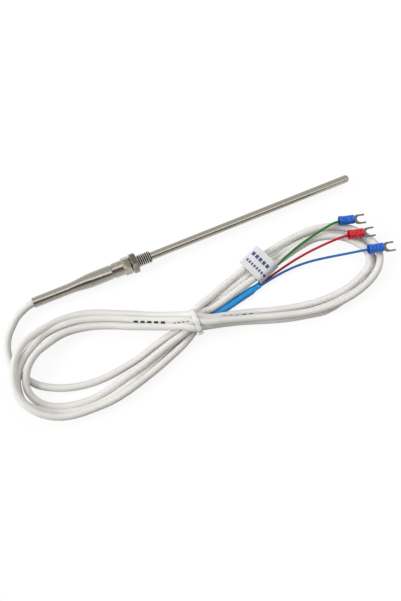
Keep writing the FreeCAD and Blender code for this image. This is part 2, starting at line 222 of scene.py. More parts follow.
def makeFinish(name, settings):  # two tones, a roughness range and a fine relief, with painted shade and highlights or print where given
    material = bpy.data.materials.new(name)
    material.use_nodes = True
    tree = material.node_tree
    shader = tree.nodes["Principled BSDF"]
    tones = placeField(tree, settings["toneStretch"], 0.0, 1.0)
    colour = mixTone(tree, tones, (*settings["dark"], 1.0), settings["light"])
    if "root" in settings:  # painted shade down in the thread, painted highlight on its crests
        radius = axisRadius(tree)
        # the share of painted shade grows towards the thread's roots
        depth = remap(tree, radius, [limit * mm for limit in settings["root"]], (1.0, 0.0))
        colour = mixTone(tree, depth, colour, settings["paintedRootShade"])
        crestGlintMask = calculate(tree, "COMPARE", radius, *[size * mm for size in settings["crest"]])
        colour = mixTone(tree, crestGlintMask, colour, settings["paintedCrestGlint"])
    if "paintedFlatShade" in settings:  # painted shade: the flats that look up are darker than the others
        facing = remap(tree, faceUpward(tree), paintedFlatShadeSettings["facing"])
        outer = calculate(tree, "GREATER_THAN", axisRadius(tree), paintedFlatShadeSettings["radius"] * mm)
        colour = mixTone(tree, calculate(tree, "MULTIPLY", facing, outer), colour, settings["paintedFlatShade"])
    for row in settings.get("print", []):
        colour = mixTone(tree, placeDashes(tree, row), colour, row["ink"])
    feed(tree, shader.inputs["Base Color"], colour)
    feed(tree, shader.inputs["Roughness"], placeField(tree, settings["grainStretch"], *settings["roughness"]))
    relief = addNode(tree, "ShaderNodeBump")
    relief.inputs["Strength"].default_value = settings["relief"]
    relief.inputs["Distance"].default_value = settings["depth"] * mm
    feed(tree, relief.inputs["Height"], placeField(tree, settings["grainStretch"], 0.0, 1.0))
    feed(tree, shader.inputs["Normal"], relief.outputs["Normal"])
    for socket, value in settings.get("plain", {}).items():
        shader.inputs[socket].default_value = value
    return material


cablePrint = [
    {"start": (-12.0, -35.2, 7.5), "along": (0.872, -0.490, 0), "across": (0.490, 0.872, 0), "length": 19.0,
     "half": 0.55, "period": 4.1, "duty": 0.62, "ink": (0.012, 0.012, 0.014)},
    {"start": (8.7, -47.1, 12.4), "along": (0.936, -0.351, 0), "across": (0.351, 0.936, 0), "length": 9.4,
     "half": 0.24, "period": 2.6, "duty": 0.6, "ink": (0.05, 0.05, 0.055)},
    {"start": (37.3, -53.5, 8.6), "along": (0.960, -0.279, 0), "across": (0.279, 0.960, 0), "length": 11.0,
     "half": 0.22, "period": 4.0, "duty": 0.62, "ink": (0.27, 0.26, 0.25)},
    {"start": (49.3, -57.0, 7.2), "along": (0.960, -0.279, 0), "across": (0.279, 0.960, 0), "length": 6.4,
     "half": 0.5, "period": 4.0, "duty": 0.62, "ink": (0.02, 0.02, 0.024)},
]
labelPrint = [
    {"start": (71.7, -24.1, 5.3), "along": (0.338, -0.941, 0), "across": (0.924, 0.331, 0.192), "length": 13.8,
     "half": 1.2, "period": 2.9, "duty": 0.72, "ink": (0.05, 0.06, 0.17)},
    {"start": (66.9, -26.1, 4.45), "along": (0.338, -0.941, 0), "across": (0.924, 0.331, 0.192), "length": 15.8,
     "half": 0.85, "period": 2.03, "duty": 0.66, "ink": (0.07, 0.085, 0.2)},
]
metal = {"Metallic": 1.0}
wireSkin = {"toneStretch": (250, 250, 250), "grainStretch": (2500, 2500, 2500), "roughness": (0.35, 0.48),
            "relief": 0.08, "depth": 0.04}
vinylSkin = {"toneStretch": (300, 300, 300), "grainStretch": (1500, 1500, 1500), "roughness": (0.16, 0.26),
             "relief": 0.08, "depth": 0.05}
finishes = {
    "drawnSteel": {"dark": (0.39, 0.375, 0.33), "light": (0.46, 0.445, 0.395), "toneStretch": (900, 60, 60),
                   "grainStretch": (3600, 70, 70), "roughness": (0.14, 0.22), "relief": 0.07, "depth": 0.02,
                   "plain": metal},
    "turnedSteel": {"dark": (0.39, 0.375, 0.345), "light": (0.48, 0.465, 0.43), "toneStretch": (1400, 60, 60),
                    "grainStretch": (4200, 80, 80), "roughness": (0.14, 0.25), "relief": 0.2, "depth": 0.02,
                    "plain": metal},
    "hexSteel": {"dark": (0.35, 0.33, 0.285), "light": (0.46, 0.44, 0.385), "toneStretch": (700, 500, 500),
                 "grainStretch": (2600, 900, 900), "roughness": (0.18, 0.3), "relief": 0.2, "depth": 0.03,
                 # the darker tone for the upper flats is painted shade
                 "paintedFlatShade": (0.19, 0.165, 0.125), "plain": metal},
    "fittingSteel": {"dark": (0.38, 0.36, 0.315), "light": (0.48, 0.46, 0.41), "toneStretch": (900, 300, 300),
                     "grainStretch": (3000, 400, 400), "roughness": (0.16, 0.28), "relief": 0.2, "depth": 0.03,
                     # the roots' dark tone is painted shade, the crests' bright tone a painted highlight
                     "root": (3.6, 3.94), "paintedRootShade": (0.03, 0.024, 0.015),
                     "crest": (3.96, 0.035), "paintedCrestGlint": (0.78, 0.75, 0.68),
                     # the darker tone for the upper flats is painted shade
                     "paintedFlatShade": (0.27, 0.255, 0.195), "plain": metal},
    "cableJacket": {"dark": (0.70, 0.69, 0.672), "light": (0.755, 0.745, 0.73), "toneStretch": (60, 60, 60),
                    "grainStretch": (1500, 1500, 1500), "roughness": (0.40, 0.52), "relief": 0.08, "depth": 0.05,
                    "print": cablePrint, "plain": {"Specular IOR Level": 0.45}},
    "tieNylon": {"dark": (0.72, 0.73, 0.73), "light": (0.79, 0.80, 0.80), "toneStretch": (300, 300, 300),
                 "grainStretch": (2000, 2000, 2000), "roughness": (0.28, 0.4), "relief": 0.1, "depth": 0.05,
                 "plain": {"Subsurface Weight": 0.15, "Subsurface Radius": (0.001, 0.001, 0.001)}},
    "blueShrink": {"dark": (0.006, 0.25, 0.66), "light": (0.012, 0.34, 0.80), "toneStretch": (200, 200, 200),
                   "grainStretch": (1800, 1800, 1800), "roughness": (0.3, 0.42), "relief": 0.12, "depth": 0.06},
    "labelPaper": {"dark": (0.59, 0.60, 0.62), "light": (0.66, 0.67, 0.69), "toneStretch": (150, 150, 150),
                   "grainStretch": (2500, 2500, 2500), "roughness": (0.5, 0.65), "relief": 0.1, "depth": 0.04,
                   "print": labelPrint},
    "greenWire": {"dark": (0.0005, 0.13, 0.004), "light": (0.001, 0.19, 0.009), **wireSkin},
    "redWire": {"dark": (0.36, 0.004, 0.014), "light": (0.48, 0.008, 0.024), **wireSkin},
    "blueWire": {"dark": (0.008, 0.10, 0.38), "light": (0.014, 0.145, 0.49), **wireSkin},
    "blueVinyl": {"dark": (0.004, 0.085, 0.48), "light": (0.010, 0.145, 0.66), **vinylSkin},
    "redVinyl": {"dark": (0.50, 0.005, 0.016), "light": (0.66, 0.010, 0.028), **vinylSkin},
    "tinnedCopper": {"dark": (0.16, 0.145, 0.13), "light": (0.30, 0.28, 0.26), "toneStretch": (800, 800, 800),
                     "grainStretch": (2200, 2200, 2200), "roughness": (0.24, 0.4), "relief": 0.2, "depth": 0.03,
                     "plain": metal},
    "chipCeramic": {"dark": (0.66, 0.65, 0.60), "light": (0.78, 0.77, 0.72), "toneStretch": (900, 900, 900),
                    "grainStretch": (3000, 3000, 3000), "roughness": (0.4, 0.6), "relief": 0.1, "depth": 0.02},
    "glassSleeve": {"dark": (0.62, 0.60, 0.52), "light": (0.74, 0.72, 0.64), "toneStretch": (600, 2500, 2500),
                    "grainStretch": (1500, 4000, 4000), "roughness": (0.5, 0.7), "relief": 0.3, "depth": 0.05},
    "heatFiller": {"dark": (0.46, 0.45, 0.43), "light": (0.56, 0.55, 0.53), "toneStretch": (900, 900, 900),
                   "grainStretch": (3500, 3500, 3500), "roughness": (0.6, 0.8), "relief": 0.2, "depth": 0.04},
    "tailResin": {"dark": (0.05, 0.045, 0.04), "light": (0.09, 0.08, 0.07), "toneStretch": (400, 400, 400),
                  "grainStretch": (1500, 1500, 1500), "roughness": (0.25, 0.4), "relief": 0.1, "depth": 0.03},
}
looks = {name: makeFinish(name, settings) for name, settings in finishes.items()}
print("finishes made:", len(looks))


# cable, one spline from the tail sleeve through the hank to the heat-shrink

cableSettings = {
    "diameter": 4.4,
    "resolution": 5,
    "exit": (-0.0629, 0.0, 0.0),
    "length": 1.78,
    "lead": [
        (-59.9, 0, 6), (-65, 0, 6), (-70.2, -1.8, 5.4), (-75.1, -4, 4.8), (-78.7, -7.3, 4), (-83.2, -11.7, 3.1),
        (-86.3, -17.4, 2.5), (-87.8, -23.6, 2.2), (-87.5, -31.3, 2.2), (-84.8, -38, 2.2), (-81.3, -43.2, 2.2),
        (-77.9, -47.5, 2.2), (-72.8, -51.2, 2.2), (-65.3, -55.1, 2.2), (-57.2, -57.7, 2.2), (-46.9, -59.4, 2.2),
        (-35.6, -59.2, 2.2), (-26.4, -57.9, 2.2), (-17, -56.4, 2.4), (-5.8, -53, 2.7), (4.1, -51, 3.6),
        (13.2, -49.8, 5.3), (21.6, -45.2, 7.2)],
    "outerTurn": [
        (27.7, -42, 7.5), (33.6, -40.3, 7.1), (42.4, -37.1, 6.2), (55.8, -32.8, 6.3), (69.1, -29, 6.2),
        (83.1, -26, 5.9), (97.9, -23.5, 5.5), (110.2, -23.1, 5.3), (119.2, -24.2, 5.3), (127.6, -27.1, 5.3),
        (134.4, -31.4, 5.3), (139.6, -37, 5.3), (143.4, -44.2, 5.3), (144.8, -51.1, 5.3), (142.2, -58.5, 5.2),
        (135.9, -65, 6), (126.6, -69.7, 6.2), (114.3, -72.9, 6.6), (100.6, -73.6, 6.5), (86.8, -71.9, 6.6),
        (74.8, -68.5, 6.6), (63.4, -64.9, 6.7), (53.3, -61.4, 7.1), (44, -58.8, 8.3), (34.8, -56.3, 10.1),
        (29.3, -55.4, 11.2), (21.1, -51.4, 11.7), (14.4, -47.3, 11.3), (6.3, -43.5, 9.4), (-2.6, -38.4, 6.7),
        (-13.1, -32.5, 4.7), (-22.1, -27.5, 3.5), (-32.1, -23.2, 3.4), (-42.2, -20.2, 3.5), (-53.6, -19.6, 4.5),
        (-63.2, -20.7, 4.6), (-69, -24.4, 7.9), (-77.3, -28.7, 7.4), (-83.3, -34.4, 6.8), (-87.2, -41, 6.8),
        (-89, -48.4, 5.1), (-88.5, -55.7, 4.1), (-80.9, -63.2, 3.9), (-71.7, -68.4, 3.2), (-62.3, -71.3, 2.7),
        (-52.1, -72.6, 2.4), (-40.4, -71.7, 2.4), (-31, -69.4, 2.5), (-21.1, -66.4, 2.6), (-9.9, -62.5, 2.5),
        (1.9, -57.5, 2.2), (12.9, -54, 2.6), (21.7, -47.3, 3.9)],
    "hiddenTurn": [
        (27.3, -46.1, 2.3), (32.9, -42.5, 2.4), (41.7, -40.7, 3.6), (55.3, -37.2, 4.2), (69.1, -33.4, 4.2),
        (84.6, -30, 3.5), (98, -27.2, 2.7), (110, -26.5, 2.2), (119.1, -27.7, 2.2), (127.5, -30.7, 2.2),
        (134.3, -35.5, 2.2), (138.7, -42, 2.2), (140.6, -49.3, 2.2), (139.3, -56.8, 2.2), (134, -63.5, 2.2),
        (129, -67.6, 2.2), (98.7, -74.8, 2.2), (87.6, -72.3, 2.2), (75, -69.5, 2.2), (63.4, -65.7, 2.3),
        (53.3, -61.9, 2.6), (44.1, -59.1, 3.9), (34.6, -57.1, 6), (28.8, -56.2, 8.1), (20.5, -54.7, 9.5),
        (18.7, -54.9, 10.9), (14.5, -51.3, 10.7), (4.8, -46.7, 8), (-5.5, -41.8, 7.1), (-15.8, -36.6, 5.6),
        (-25.3, -31.3, 4.2), (-35, -27.5, 4.3), (-45, -25.4, 5.1), (-54.4, -25.5, 6.6), (-62, -27.9, 8.1),
        (-70.4, -30.4, 8.7), (-77.2, -35.2, 8.7), (-81.7, -41.6, 7.9), (-84.1, -49, 6.5), (-82, -55.7, 4.3),
        (-77.4, -61.1, 2.7), (-70.6, -65.1, 2.2), (-60.5, -67.7, 2.2), (-50.3, -68.5, 2.4), (-38.4, -66.6, 2.9),
        (-28.7, -64.5, 4.4), (-19.5, -63, 5.2), (-7.6, -59.4, 5.9), (3.5, -56.1, 6.4), (12.3, -54.4, 6.8),
        (21.9, -51, 7.2)],
    "innerTurn": [
        (26.9, -45.2, 5.9), (32.2, -46.4, 5.6), (38.3, -45.3, 5.4), (46, -43.6, 5.8), (54.4, -41.5, 6),
        (63.9, -39.2, 6), (74.5, -36.4, 5.8), (86, -33.9, 5.5), (98.5, -30.8, 5.3), (110, -29.1, 5.3),
        (118.5, -30.8, 5.3), (126.8, -34.4, 5.3), (132.9, -40.5, 5.3), (137.3, -48, 5.3), (137.1, -54.8, 5.3),
        (132.4, -60.8, 5.1), (125.4, -63.6, 4.7), (116.8, -66.3, 3.6), (104.8, -67.4, 2.5), (92.9, -66.7, 2.2),
        (79.3, -64.2, 2.2), (65.7, -60.3, 2.2), (56.2, -57.1, 2.8), (47.3, -54.9, 4.2), (38.6, -53.3, 6.6),
        (30.6, -52.6, 9.2), (20.4, -46.9, 11.9), (17.6, -44.6, 9.2), (7.4, -39.7, 6.6), (-1.3, -34.8, 4.1),
        (-11.7, -28.8, 2.5), (-21.1, -24.3, 2.4), (-30.7, -19.3, 2.2), (-41, -16.2, 2.5), (-52.1, -15.5, 3.8),
        (-63.2, -18, 6.9), (-72.7, -20.8, 9.1), (-80, -25.5, 9.9), (-84.7, -31.6, 10.2), (-87.5, -38.4, 10.6),
        (-89.5, -45.4, 10.2), (-89.1, -53.4, 9.5), (-85.4, -61.2, 8.6), (-79.4, -67.3, 6.9),
        (-71.2, -71.8, 5.5), (-61.6, -73.9, 5.1), (-52, -74.4, 5.4), (-40.8, -74.85, 6.5), (-31.7, -73.2, 5.9),
        (-22.3, -70.7, 5.3), (-10.6, -67.2, 4.8), (1.2, -63, 4.3), (12.1, -58.6, 3.8), (21.5, -52.7, 3.6)],
    "end": [
        (29.6, -50.6, 2.8), (37, -49.1, 2.5), (44.3, -47.6, 2.5), (52.1, -46, 2.5), (61, -44.2, 2.5)],
}
cordSettings = {"bevelSteps": 6, "order": 3}


def cordCurve(name, route, diameter, look, resolution):
    data = bpy.data.curves.new(name, "CURVE")
    data.dimensions = "3D"
    data.resolution_u = resolution
    data.bevel_depth = diameter * mm / 2
    data.bevel_resolution = cordSettings["bevelSteps"]
    data.use_fill_caps = True
    spline = data.splines.new("NURBS")
    spline.points.add(len(route) - 1)
    for point, place in zip(spline.points, route):
        point.co = (*onFloor(*place), 1.0)
    spline.order_u = cordSettings["order"]
    spline.use_endpoint_u = True
    data.materials.append(look)
    return placeObject(name, data)


cableRoute = []
for stretch in ("lead", "outerTurn", "hiddenTurn", "innerTurn", "end"):
    cableRoute += cableSettings[stretch]
cable = cordCurve("sensorCable", cableRoute, cableSettings["diameter"], looks["cableJacket"],
                  cableSettings["resolution"])
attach(cable, "sensor")
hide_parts("cable_lead", "cable_hank", "cable_end")
print("cable laid, route points:", len(cableRoute))


# wires from the heat-shrink to the terminals

wireSettings = {
    "diameter": 1.5,
    "resolution": 12,
    "green": {"length": 0.0762, "route": [
        (60.8, -43.44, 2.98), (67.92, -42, 2.98), (70.7, -40.4, 3.9), (82.1, -36.3, 6.2), (91.1, -33.5, 8.2),
        (100.1, -30.9, 9.1), (109.4, -28.9, 9.6), (118.9, -27.3, 10.4), (126.8, -26.4, 11.05), (133.5, -28.1, 10.87)]},
    "red": {"length": 0.0755, "route": [
        (60.96, -44.24, 1.55), (68.08, -42.8, 1.55), (75.5, -40.5, 2.2), (83.8, -38.8, 2.9), (92.3, -37.3, 3.8),
        (101.3, -36.3, 5.1), (110.2, -36.2, 7), (119.2, -36.6, 9.3), (127.7, -37.3, 11.05), (134.6, -38.7, 10.87)]},
    "blue": {"length": 0.0828, "route": [
        (61.13, -45.05, 2.98), (68.24, -43.61, 2.98), (76.3, -42, 2.7), (85.3, -40.8, 2.4), (94.3, -40.6, 2.7),
        (103.8, -41.8, 4), (113.7, -44.4, 6), (124.2, -47.7, 8.7), (134.4, -50.7, 11.05), (141.2, -52.2, 10.87)]},
}
coreColours = ("green", "red", "blue")
wires = {}
for colour in coreColours:
    wires[colour] = cordCurve(colour + "Wire", wireSettings[colour]["route"], wireSettings["diameter"],
                              looks[colour + "Wire"], wireSettings["resolution"])
    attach(wires[colour], "sensor")
    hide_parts(colour + "_wire")
print("wires laid")


# helpers of the modelled pieces

shapeSettings = {
    "merge": 1e-7, "nodeMerge": 1e-6, "threadMerge": 2e-6,  # metres
    "cut": 1e-7, "onPlane": 1e-6,  # metres
    "flatAngle": 0.5, "cornerSteps": 5,
}


def addOutline(bm, points, closed):
    verts = [bm.verts.new(point) for point in points]
    for pair in zip(verts, verts[1:]):
        bm.edges.new(pair)
    if closed:
        bm.edges.new((verts[-1], verts[0]))
    return verts


def roundCorners(bm, verts, rounds):  # rounds: index of the corner and its reach
    for index, offset in rounds.items():
        bmesh.ops.bevel(bm, geom=[verts[index]], offset=offset * mm, offset_type="OFFSET",
                        segments=shapeSettings["cornerSteps"], profile=0.5, affect="VERTICES", material=-1,
                        clamp_overlap=True)


def softenEdges(bm, angle, offset, segments):  # edges sharper than the angle
    sharp = [edge for edge in bm.edges if edge.is_manifold and edge.calc_face_angle(0) > math.radians(angle)]
    bmesh.ops.bevel(bm, geom=sharp, offset=offset * mm, offset_type="OFFSET", segments=segments, profile=0.5,
                    affect="EDGES", material=-1, clamp_overlap=True)


def turnOutline(outline, rounds, steps, closed=True):  # outline of (x, radius), turned about X
    bm = bmesh.new()
    verts = addOutline(bm, [(x * mm, r * mm, 0) for x, r in outline], closed)
    roundCorners(bm, verts, rounds)
    bmesh.ops.spin(bm, geom=bm.verts[:] + bm.edges[:], cent=(0, 0, 0), axis=(1, 0, 0), dvec=(0, 0, 0),
                   angle=math.tau, steps=steps, use_merge=True, use_normal_flip=False, use_duplicate=False)
    bmesh.ops.remove_doubles(bm, verts=bm.verts, dist=shapeSettings["merge"])
    bmesh.ops.recalc_face_normals(bm, faces=bm.faces)
    return bm


def pickKind(items, kind):
    return [item for item in items if isinstance(item, kind)]


def widenStrip(bm, width):  # a line of edges drawn out along X
    grown = bmesh.ops.extrude_edge_only(bm, edges=bm.edges[:])["geom"]
    bmesh.ops.translate(bm, vec=(width * mm, 0, 0), verts=pickKind(grown, bmesh.types.BMVert))
    bmesh.ops.recalc_face_normals(bm, faces=bm.faces)


def cutAcross(bm, x, direction):  # takes off what lies beyond x in that direction
    return bmesh.ops.bisect_plane(bm, geom=bm.verts[:] + bm.edges[:] + bm.faces[:], dist=shapeSettings["cut"],
                                  plane_co=(x * mm, 0, 0), plane_no=(direction, 0, 0), clear_outer=True)


def fromAxis(vert):
    return math.hypot(vert.co.y, vert.co.z)


def scaleFromAxis(vert, scale):
    vert.co.y *= scale
    vert.co.z *= scale


def copyNode(name):
    bm = bmesh.new()
    bm.from_mesh(nodes[name].data)
    bmesh.ops.remove_doubles(bm, verts=bm.verts, dist=shapeSettings["nodeMerge"])
    bmesh.ops.dissolve_limit(bm, angle_limit=math.radians(shapeSettings["flatAngle"]), use_dissolve_boundaries=False,
                             verts=bm.verts, edges=bm.edges, delimit=set())
    return bm


def joinShape(bm, other):
    mesh = bpy.data.meshes.new("joined")
    other.to_mesh(mesh)
    other.free()
    bm.from_mesh(mesh)
    bpy.data.meshes.remove(mesh)


def finishPiece(name, bm, look, body, node, sharp=32):
    mesh = bpy.data.meshes.new(name)
    bm.to_mesh(mesh)
    bm.free()
    mesh.shade_smooth()
    mesh.set_sharp_from_angle(angle=math.radians(sharp))
    mesh.materials.append(looks[look])
    piece = placeObject(name, mesh)
    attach(piece, body)
    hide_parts(node)
    return piece


# probe tube and tail sleeve, turned

tubeSettings = {
    "outline": [(149.6, 0), (149.6, 2.1), (-17.3, 2.1), (-17.3, 2.5), (150, 2.5), (150, 0)],
    "rounds": {1: 1.6, 4: 2.0},
    "steps": 56,
}
tubeShape = turnOutline(tubeSettings["outline"], tubeSettings["rounds"], tubeSettings["steps"], closed=False)
finishPiece("probeTube", tubeShape, "drawnSteel", "sensor", "probe_tube")

tailSettings = {
    "outline": [(-12.3, 3.9), (-12.3, 4.5), (-27.1, 4.5), (-37.9, 3.25), (-62.9, 3.25), (-62.9, 2.22), (-37.9, 2.22),
                (-27.1, 3.9)],
    "rounds": {1: 0.3, 2: 3.0, 3: 3.0, 4: 0.3, 5: 0.15},
    "steps": 64,
}
tailShape = turnOutline(tailSettings["outline"], tailSettings["rounds"], tailSettings["steps"])
finishPiece("tailSleeve", tailShape, "turnedSteel", "sensor", "tail_sleeve")
print("tube and sleeve turned")


# threaded fitting: the hexagon and neck, with a real thread in place of the plain rod

fittingSettings = {
    "cutAt": 0.2, "soften": (25, 0.1, 2),  # angle, width, steps
    "pitch": 1.25, "turns": 13, "steps": 40, "start": -0.6, "end": 13.2, "chamfer": 0.8, "bore": 2.52,
    "profile": [(0, 3.24), (0.12, 3.24), (0.48, 3.97), (0.77, 3.97), (1.13, 3.24), (1.25, 3.24)],
}


def makeThread(settings):
    bm = bmesh.new()
    pitch = settings["pitch"]
    addOutline(bm, [((x - 2 * pitch) * mm, r * mm, 0) for x, r in settings["profile"]], False)
    bmesh.ops.spin(bm, geom=bm.verts[:] + bm.edges[:], cent=(0, 0, 0), axis=(1, 0, 0),
                   dvec=(pitch * mm / settings["steps"], 0, 0), angle=math.tau * settings["turns"],
                   steps=settings["steps"] * settings["turns"], use_merge=False, use_normal_flip=False,
                   use_duplicate=False)
    bmesh.ops.remove_doubles(bm, verts=bm.verts, dist=shapeSettings["threadMerge"])
    crest = max(r for x, r in settings["profile"])
    for vert in bm.verts:  # lead-in cone at the front
        limit = (crest - max(0.0, vert.co.x / mm - settings["end"] + settings["chamfer"])) * mm
        radius = fromAxis(vert)
        if radius > limit:
            scaleFromAxis(vert, limit / radius)
    rims = []
    for place, direction in ((settings["start"], -1), (settings["end"], 1)):
        cutAcross(bm, place, direction)
        rim = [edge for edge in bm.edges if edge.is_boundary
               and all(abs(vert.co.x - place * mm) < shapeSettings["onPlane"] for vert in edge.verts)]
        grown = bmesh.ops.extrude_edge_only(bm, edges=rim)["geom"]
        for vert in pickKind(grown, bmesh.types.BMVert):
            scaleFromAxis(vert, settings["bore"] * mm / fromAxis(vert))
        rims += pickKind(grown, bmesh.types.BMEdge)
    bmesh.ops.bridge_loops(bm, edges=rims)
    bmesh.ops.recalc_face_normals(bm, faces=bm.faces)
    return bm


def makeFitting(settings):
    bm = copyNode("threaded_fitting")
    cut = cutAcross(bm, settings["cutAt"], 1)
    bmesh.ops.bridge_loops(bm, edges=pickKind(cut["geom_cut"], bmesh.types.BMEdge))
    softenEdges(bm, *settings["soften"])
    joinShape(bm, makeThread(settings))
    return bm


finishPiece("threadedFitting", makeFitting(fittingSettings), "fittingSteel", "sensor", "threaded_fitting")

nutSettings = {"soften": (25, 0.26, 2)}
nutShape = copyNode("lock_nut")
softenEdges(nutShape, *nutSettings["soften"])
finishPiece("lockNut", nutShape, "hexSteel", "nut", "lock_nut")
print("fitting and nut made")


# heat-shrink sleeve, drawn in round the three wires at its end

shrinkSettings = {
    "place": (29.6, -50.6, 2.5),
    "heading": math.atan2(7.6, 37.5),
    "outline": [(0, 2.22), (0, 2.44), (0.5, 2.5), (7, 2.46), (14, 2.5), (22, 2.46), (29.5, 2.5), (32.6, 2.44),
                (34.2, 2.08), (35.4, 1.98), (37.2, 1.94), (38.26, 2.0), (38.26, 1.78), (34.4, 1.75), (33.1, 2.22)],
    "rounds": {1: 0.12, 2: 0.2, 7: 0.6, 8: 0.5, 11: 0.08, 12: 0.06},
    "steps": 48,
    "lobes": {"depth": 0.10, "from": 32.5, "over": 3.0, "count": 3},
}


def makeShrink(settings):
    bm = turnOutline(settings["outline"], settings["rounds"], settings["steps"])
    lobes = settings["lobes"]
    for vert in bm.verts:  # soft lobes where the wires lie inside
        reach = min(max((vert.co.x / mm - lobes["from"]) / lobes["over"], 0.0), 1.0)
        turn = math.atan2(vert.co.z, vert.co.y)
        wave = 0.5 - 0.5 * math.cos(lobes["count"] * (turn + math.pi / 2))
        scaleFromAxis(vert, 1 - lobes["depth"] * reach * wave)
    spot = Matrix.Translation(onFloor(*settings["place"])) @ Matrix.Rotation(settings["heading"], 4, "Z")
    bmesh.ops.transform(bm, matrix=spot, verts=bm.verts)
    return bm


shrinkPiece = finishPiece("heatShrink", makeShrink(shrinkSettings), "blueShrink", "sensor", "heat_shrink")
print("heat-shrink made")


# terminals: moulded insulators with crimp dents, and tinned forks

terminalSettings = {
    "height": 11.0, "droop": 1.5,
    "spots": {"green": (128.7, -26.9, -14.4), "red": (129.7, -37.7, -11.8), "blue": (136.3, -51.1, -12.8)},
    "vinyl": {"green": "blue", "red": "red", "blue": "blue"},
    "cover": [(0, 2.6), (0, 3.15), (1.9, 3.0), (2.9, 2.7), (3.8, 2.8), (9.4, 2.8), (9.4, 1.67), (5.0, 1.67),
              (2.6, 2.25)],
    "coverRounds": {0: 0.16, 1: 0.22, 2: 0.6, 3: 0.5, 4: 0.5, 5: 0.45, 6: 0.12},
    "steps": 48, "coverSharp": 50,
    "outside": 2.4, "bodyEdge": 3.0, "bodyCuts": 26,  # outer wall's least radius, its long edges and their cuts
    "dents": (5.0, 7.6), "dentDepth": 0.55, "dentLength": 0.75, "dentWidth": 1.5,
    "barrel": [(5.0, 0.9), (5.0, 1.65), (10.2, 1.65), (10.2, 0.9)],
    "barrelRounds": {1: 0.15, 2: 0.15}, "barrelSteps": 32,
    "tongue": [(8.9, -0.9), (9.8, -1.65), (11.1, -3.2), (16.9, -3.2), (16.9, -2.2), (11.6, -2.2), (11.6, 2.2),
               (16.9, 2.2), (16.9, 3.2), (11.1, 3.2), (9.8, 1.65), (8.9, 0.9)],
    "tongueRounds": {5: 2.19, 6: 2.19, 2: 1.1, 9: 1.1, 3: 0.35, 4: 0.25, 7: 0.25, 8: 0.35},
    "tongueLow": -1.65, "tongueThick": 0.8, "soften": (50, 0.12, 2),
}


def terminalPlace(settings, colour):
    x, y, turn = settings["spots"][colour]
    return (Matrix.Translation(onFloor(x, y, settings["height"])) @ Matrix.Rotation(math.radians(turn), 4, "Z")
            @ Matrix.Rotation(math.radians(settings["droop"]), 4, "Y"))


def makeInsulator(settings, colour):
    bm = turnOutline(settings["cover"], settings["coverRounds"], settings["steps"])
    outside = settings["outside"] * mm
    long = [edge for edge in bm.edges if edge.calc_length() > settings["bodyEdge"] * mm
            and all(fromAxis(vert) > outside for vert in edge.verts)]
    bmesh.ops.subdivide_edges(bm, edges=long, cuts=settings["bodyCuts"], use_grid_fill=True)
    for vert in bm.verts:
        if fromAxis(vert) < outside:
            continue
        sideways = math.exp(-(vert.co.y / mm / settings["dentWidth"]) ** 4)
        for place in settings["dents"]:
            lengthways = math.exp(-((vert.co.x / mm - place) / settings["dentLength"]) ** 4)
            vert.co.z -= math.copysign(settings["dentDepth"] * mm, vert.co.z) * sideways * lengthways
    bmesh.ops.transform(bm, matrix=terminalPlace(settings, colour), verts=bm.verts)
    return bm


def makeFork(settings, colour):
    bm = bmesh.new()
    low = settings["tongueLow"] * mm
    verts = addOutline(bm, [(x * mm, y * mm, low) for x, y in settings["tongue"]], True)
    roundCorners(bm, verts, settings["tongueRounds"])
    base = bmesh.ops.contextual_create(bm, geom=bm.edges[:])["faces"]
    grown = bmesh.ops.extrude_face_region(bm, geom=base, use_keep_orig=True)["geom"]
    bmesh.ops.translate(bm, vec=(0, 0, settings["tongueThick"] * mm), verts=pickKind(grown, bmesh.types.BMVert))
    bmesh.ops.recalc_face_normals(bm, faces=bm.faces)
    softenEdges(bm, *settings["soften"])
    joinShape(bm, turnOutline(settings["barrel"], settings["barrelRounds"], settings["barrelSteps"]))
    bmesh.ops.transform(bm, matrix=terminalPlace(settings, colour), verts=bm.verts)
    return bm


for colour in coreColours:
    vinyl = terminalSettings["vinyl"][colour]
    insulator = finishPiece(colour + "Insulator", makeInsulator(terminalSettings, colour), vinyl + "Vinyl", "sensor",
                            "insulator_" + colour, sharp=terminalSettings["coverSharp"])
    fork = finishPiece(colour + "Fork", makeFork(terminalSettings, colour), "tinnedCopper", "sensor",
                       "fork_" + colour)
print("terminals made")


# paper flag folded round the green wire

labelSettings = {
    "centre": (74.6, -39.3, 4.97), "along": (14.55, 5.22, 3.02), "width": 15.0, "thick": 0.14, "cuts": 8, "sharp": 60,
    "strip": [  # across the wire: from the upper layer's end, round the wire, to the lower layer's end
        (16.8, 4.8), (15.2, 5.25), (13.6, 5.55), (12, 5.68), (10.4, 5.72), (8.8, 5.7), (7.2, 5.62), (5.7, 5.5),
        (4.4, 5.4), (3.3, 5.32), (2.2, 5.2), (1.2, 4.98), (0.4, 4.52), (-0.2, 3.75), (-0.6, 2.8), (-0.95, 1.8),
        (-1.27, 0.85), (-1.37, 0.15), (-1.25, -0.58), (-0.78, -1.14), (-0.1, -1.38), (0.6, -1.24), (1.13, -0.79),
        (1.36, -0.1), (1.2, 0.75), (0.8, 1.7), (0.55, 2.6), (0.75, 3.5), (1.4, 4.3), (2.4, 4.78), (3.5, 5.03),
        (4.5, 5.16), (5.75, 5.26), (7.2, 5.38), (8.8, 5.46), (10.4, 5.48), (12, 5.44), (13.6, 5.31), (15.2, 5.01),
        (16.76, 4.57)],
}


